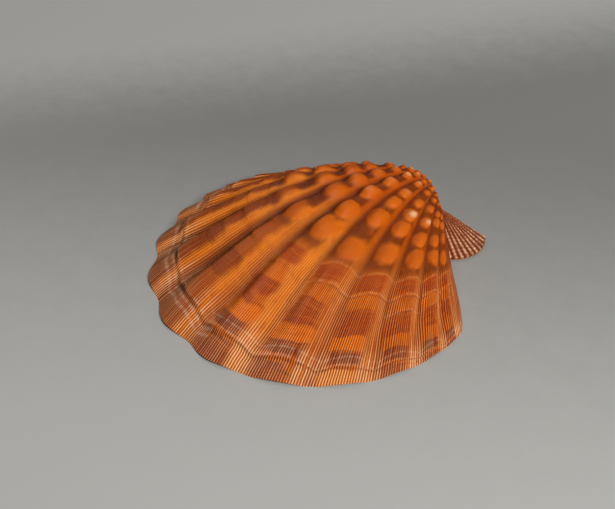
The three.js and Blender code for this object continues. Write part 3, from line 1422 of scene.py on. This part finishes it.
@dataclass(frozen=True)
class CordFinish:
    """Pale cords over dark furrows, stronger towards the margin, and thin lines along the growth lines, some
    of them painted highlights on the ledges' edges and painted shadow under the ledges.
    """

    pale: Colour = (0.82, 0.34, 0.11)
    margin_pale: Colour = (0.92, 0.5, 0.24)
    furrow: Colour = (0.26, 0.038, 0.006)
    # The pale lines at 0.66, 0.722, 0.938, 0.951 and 0.964 are pale growth lines brightened as painted
    # highlights on the ledges' edges. The dark lines at 0.73 and 0.945, just past the ledges' drops, are
    # painted shadow under the ledges.
    edges: tuple[Edge, ...] = (
        Edge(0.66, (-1.5, 3.4), 0.18, (0.86, 0.44, 0.2)),
        Edge(0.722, (-1.5, 3.4), 0.22, (0.86, 0.44, 0.2)),
        Edge(0.73, (-1.5, 3.4), 0.4, (0.2, 0.03, 0.004)),
        Edge(0.776, (-1.5, 1.5), 0.22, (0.86, 0.44, 0.2)),
        Edge(0.916, (-1.5, 4.5), 0.28, (0.84, 0.5, 0.3)),
        Edge(0.938, (-1.5, 10.5), 0.22, (0.84, 0.5, 0.3)),
        Edge(0.945, (-1.5, 10.5), 0.5, (0.14, 0.025, 0.008)),
        Edge(0.951, (4.3, 10.5), 0.4, (0.7, 0.44, 0.28)),
        Edge(0.964, (4.3, 10.5), 0.4, (0.7, 0.44, 0.28)),
    )
    uneven_counts: Pair = (0.9, 6.0)
    uneven_span: Span = (0.3, 0.62)
    grown_lines: Span = (0.56, 0.76)
    grown_strength: float = 0.7
    margin_lines: Span = (0.86, 0.95)
    margin_strength: float = 0.3
    faint_ribs: Span = (3.0, 4.6)
    faint_lines: Span = (0.93, 0.84)
    faint_loss: Pair = (-0.28, -0.58)
    crest_strength: Pair = (1.0, 0.45)
    top_span: Span = (0.3, 0.9)
    furrow_span: Span = (0.5, 0.05)
    furrow_strength: float = 0.8
    edge_bow: float = -0.05
    edge_waver: float = 0.003
    edge_half_width: float = 0.001
    edge_softness: float = 0.0035
    edge_rib_softness: float = 0.1

    def paint(self, recipe: Recipe, coat: Coat, spot: Spot) -> None:
        """Paint the cords, the furrows and the thin lines, with painted highlights on the ledges' edges and
        painted shadow under them.

        Args:
            recipe: The material.
            coat: The coat so far.
            spot: Where the point lies.
        """
        wave = recipe.wave(spot.cord)
        uneven = recipe.rise(recipe.grain(spot.cord, spot.line, self.uneven_counts), self.uneven_span)
        margin = recipe.rise(spot.line, self.margin_lines)
        grown = recipe.rise(spot.line, self.grown_lines)
        strength = recipe.moved(recipe.product(margin, self.margin_strength), grown, self.grown_strength)
        loss = recipe.between(recipe.rise(spot.line, self.faint_lines), self.faint_loss)
        faint = recipe.math("MULTIPLY_ADD", recipe.rise(spot.rib, self.faint_ribs), loss, 1.0)
        strength = recipe.product(strength, faint)
        on_crest = recipe.between(spot.crest, self.crest_strength)
        pale = recipe.mix(margin, self.pale, self.margin_pale)
        coat.paint(pale, recipe.rise(wave, self.top_span), strength, uneven, on_crest)
        coat.paint(self.furrow, recipe.rise(wave, self.furrow_span), strength, self.furrow_strength)
        bowed = recipe.moved(spot.line, recipe.product(spot.offset, spot.offset), self.edge_bow)
        line = recipe.moved(bowed, spot.waver, self.edge_waver)
        # Thin lines: growth lines, painted highlights on the ledges' edges and painted shadow just under the
        # ledges.
        for edge in self.edges:
            width = (edge.line - self.edge_half_width, edge.line + self.edge_half_width)
            thin = recipe.band(line, width, self.edge_softness)
            among = recipe.band(spot.rib, edge.ribs, self.edge_rib_softness)
            coat.paint(edge.colour, thin, among, uneven, edge.strength)


@dataclass(frozen=True)
class EarFinish:
    """Beaded cords over red-brown furrows: reddish by the beak and pale at the rim."""

    furrow: Colour = (0.17, 0.026, 0.006)
    root: Colour = (0.5, 0.15, 0.045)
    rim: Colour = (0.84, 0.46, 0.25)
    rim_lines: Span = (0.45, 0.95)
    bead_span: Span = (0.15, 0.8)
    spot_cloud: Cloud = (420.0, 3.0, 0.5)
    spot_span: Span = (0.38, 0.6)
    spot_strength: Pair = (0.4, 1.0)

    def colour(self, recipe: Recipe) -> Socket:
        """Mix the ears' colour.

        Args:
            recipe: The material.

        Returns:
            The colour.
        """
        spots = recipe.rise(recipe.cloud(self.spot_cloud), self.spot_span)
        cords = recipe.mix(recipe.rise(recipe.value("line"), self.rim_lines), self.root, self.rim)
        coat = Coat(recipe, self.furrow)
        beads = recipe.rise(recipe.value("raised"), self.bead_span)
        coat.paint(cords, beads, recipe.between(spots, self.spot_strength))
        return coat.colour


@dataclass(frozen=True)
class LiningFinish:
    """The inner surface: pale, blushed in the middle, with a dark border inside the margin."""

    lining: Colour = (0.8, 0.7, 0.6)
    blush: Colour = (0.74, 0.44, 0.28)
    border: Colour = (0.2, 0.055, 0.045)
    margin: Colour = (0.92, 0.5, 0.24)
    cloud: Cloud = (40.0, 3.0, 0.5)
    cloud_middle: float = 0.5
    waver: float = 0.06
    blush_lines: Span = (0.85, 0.4)
    border_start: Span = (0.84, 0.93)
    border_end: Span = (0.985, 0.955)
    margin_lines: Span = (0.97, 0.985)

    def colour(self, recipe: Recipe) -> Socket:
        """Mix the lining's colour.

        Args:
            recipe: The material.

        Returns:
            The colour.
        """
        line = recipe.value("line")
        cloud = recipe.cloud(self.cloud)
        coat = Coat(recipe, self.lining)
        coat.paint(self.blush, recipe.rise(line, self.blush_lines), cloud)
        uneven = recipe.moved(line, recipe.math("SUBTRACT", cloud, self.cloud_middle), self.waver)
        coat.paint(self.border, recipe.rise(uneven, self.border_start), recipe.rise(line, self.border_end))
        coat.paint(self.margin, recipe.rise(line, self.margin_lines))
        return coat.colour


@dataclass(frozen=True)
class FineRelief:
    """Relief too fine for the mesh: cords on the sides, faint growth lines, and pits."""

    cord_lines: Span = (0.35, 0.9)
    growth_counts: Pair = (0.12, 180.0)
    growth_share: float = 0.7
    pit_cloud: Cloud = (900.0, 2.0, 0.5)
    pit_share: float = 0.25
    depth: float = 0.00018

    def add(self, recipe: Recipe) -> None:
        """Add the relief to the shading.

        Args:
            recipe: The material.
        """
        cord, line = recipe.value("cord"), recipe.value("line")
        outer, on_disc = [recipe.math("SUBTRACT", 1.0, recipe.value(name)) for name in ("inside", "ear")]
        cords = recipe.product(recipe.wave(cord), recipe.rise(line, self.cord_lines), outer, on_disc)
        growth = recipe.product(recipe.grain(cord, line, self.growth_counts), outer)
        total = recipe.moved(cords, growth, self.growth_share)
        recipe.bump(recipe.moved(total, recipe.cloud(self.pit_cloud), self.pit_share), self.depth)


@dataclass(frozen=True)
class ShellFinish:
    """The whole shell: burnt orange ribs, pale cords, beaded ears and a pale inside, softly glossy."""

    ribs: RibFinish = RibFinish()
    knobs: KnobFinish = KnobFinish()
    blotches: BlotchFinish = BlotchFinish()
    cords: CordFinish = CordFinish()
    ears: EarFinish = EarFinish()
    lining: LiningFinish = LiningFinish()
    relief: FineRelief = FineRelief()
    inside_span: Span = (0.3, 0.7)
    roughness: float = 0.5
    gloss: float = 0.12

    def material(self) -> bpy.types.Material:
        """Make the shell's material.

        Returns:
            The material, which reads the values kept at the mesh's points.
        """
        recipe = Recipe("shell_surface")
        spot = self.ribs.spot(recipe)
        coat = self.ribs.ground(recipe, spot)
        for layer in (self.knobs, self.blotches, self.cords):
            layer.paint(recipe, coat, spot)
        coat.paint(self.ears.colour(recipe), recipe.value("ear"))
        coat.paint(self.lining.colour(recipe), recipe.rise(recipe.value("inside"), self.inside_span))
        recipe.feed(recipe.shader.inputs["Specular IOR Level"], self.gloss)
        self.relief.add(recipe)
        return recipe.finish(coat.colour, self.roughness)


@dataclass(frozen=True)
class PaperFinish:
    """Pale paper, faintly mottled, with its light and shade painted on: painted light in front, painted
    shade behind the shell and painted light again far off.
    """

    # The paper's colours are painted light and shade: painted light in front, painted shade behind the shell
    # and painted light again far off.
    near: Colour = (0.45, 0.438, 0.412)
    painted_shade: Colour = (0.2, 0.194, 0.18)
    far: Colour = (0.41, 0.4, 0.38)
    near_span: Span = (-0.09, 0.1)
    far_span: Span = (-0.08, -0.16)
    turn: float = 14.0
    mottle: Cloud = (90.0, 8.0, 0.75)
    mottle_middle: float = 0.5
    mottle_reach: float = 0.03
    roughness: float = 0.95

    def material(self, azimuth: float, elevation: float) -> bpy.types.Material:
        """Make the paper's material.

        Args:
            azimuth: Direction of the bright front in degrees.
            elevation: How high it is looked at from, in degrees.

        Returns:
            The material.
        """
        recipe = Recipe("paper")
        mottled = recipe.math("SUBTRACT", recipe.cloud(self.mottle), self.mottle_middle)
        coat = Coat(recipe, self.painted_shade)
        # Painted light that falls off away from the front and again far off, over painted shade behind the
        # shell.
        painted_light_bands = ((self.near, -self.turn, self.near_span), (self.far, self.turn, self.far_span))
        for colour, turn, span in painted_light_bands:
            front = direction(azimuth + turn, elevation)
            distance = recipe.node("VectorMath", operation="DOT_PRODUCT")
            recipe.feed(distance.inputs[0], recipe.place(1.0))
            distance.inputs[1].default_value = (front.x, front.y, 0.0)
            tone = recipe.moved(distance.outputs["Value"], mottled, self.mottle_reach)
            coat.paint(colour, recipe.rise(tone, span))
        return recipe.finish(coat.colour, self.roughness)


@dataclass(frozen=True)
class Lamp:
    """A soft square lamp, by its direction in degrees, its distance and width in metres, and its watts."""

    azimuth: float
    elevation: float
    distance: float
    size: float
    power: float


@dataclass(frozen=True)
class Studio:
    """Plain pale floor, soft lights and the camera at the photograph's angle, in metres and degrees."""

    azimuth: float = 49.72
    elevation: float = 40.0
    distance: float = 0.39944
    aim: Point = (-0.0029, -0.00148, 0.0065)
    nudge_right: float = -0.0007
    nudge_up: float = -0.0019
    focal_pixels: float = 1000.0
    sensor: float = 36.0
    floor_size: float = 3.0
    paper: PaperFinish = PaperFinish()
    key: Lamp = Lamp(88.0, 42.0, 1.5, 0.5, 22.5)
    back: Lamp = Lamp(-120.0, 45.0, 1.5, 0.9, 6.0)
    fill: float = 0.08
    fill_colour: Colour = (0.9, 0.95, 1.0)

    def camera(self) -> None:
        """Place the camera."""
        data = bpy.data.cameras.new("camera")
        data.sensor_width = self.sensor
        data.lens = self.focal_pixels / PHOTO_WIDTH * self.sensor
        camera = bpy.data.objects.new("camera", data)
        back = direction(self.azimuth, self.elevation)
        right = Vector((-back.y, back.x, 0.0)).normalized()
        nudge = right * self.nudge_right + back.cross(right) * self.nudge_up
        self.stand(camera, back, Vector(self.aim) + back * self.distance + nudge)
        bpy.context.scene.camera = camera

    def floor(self) -> None:
        """Lay the pale floor."""
        bm = bmesh.new()
        bmesh.ops.create_grid(bm, x_segments=1, y_segments=1, size=self.floor_size)
        mesh = bpy.data.meshes.new("floor")
        bm.to_mesh(mesh)
        bm.free()
        floor = bpy.data.objects.new("floor", mesh)
        bpy.context.scene.collection.objects.link(floor)
        floor.data.materials.append(self.paper.material(self.azimuth, self.elevation))

    @staticmethod
    def stand(thing: bpy.types.Object, back: Vector, place: Vector) -> None:
        """Stand a camera or lamp in its place.

        Args:
            thing: The camera or lamp.
            back: Direction from what it points at to it.
            place: Where it stands.
        """
        thing.matrix_world = back.to_track_quat("Z", "Y").to_matrix().to_4x4()
        thing.location = place
        bpy.context.scene.collection.objects.link(thing)

    def light(self, name: str, lamp: Lamp) -> None:
        """Add one soft lamp that points at the shell.

        Args:
            name: Its name.
            lamp: Where it stands, its width and its power.
        """
        data = bpy.data.lights.new(name, "AREA")
        data.size = lamp.size
        data.energy = lamp.power
        back = direction(lamp.azimuth, lamp.elevation)
        self.stand(bpy.data.objects.new(name, data), back, back * lamp.distance)

    def lights(self) -> None:
        """Light the shell softly from above and to the camera's right, with a dim fill."""
        self.light("key", self.key)
        self.light("back", self.back)
        world = bpy.data.worlds.new("room")
        world.use_nodes = True
        background = world.node_tree.nodes["Background"]
        background.inputs["Color"].default_value = (*self.fill_colour, 1.0)
        background.inputs["Strength"].default_value = self.fill
        bpy.context.scene.world = world
        bpy.context.scene.view_settings.view_transform = "Standard"


def main() -> None:
    """Build the studio and the valve, in order."""
    logging.basicConfig(level=logging.INFO, format="%(name)s: %(message)s")
    studio = Studio()
    studio.camera()
    studio.floor()
    studio.lights()
    valve = Valve().build()
    valve.data.materials.append(ShellFinish().material())
    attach(valve, BODY)
    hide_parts(NODE)


if __name__ == "__main__":
    main()
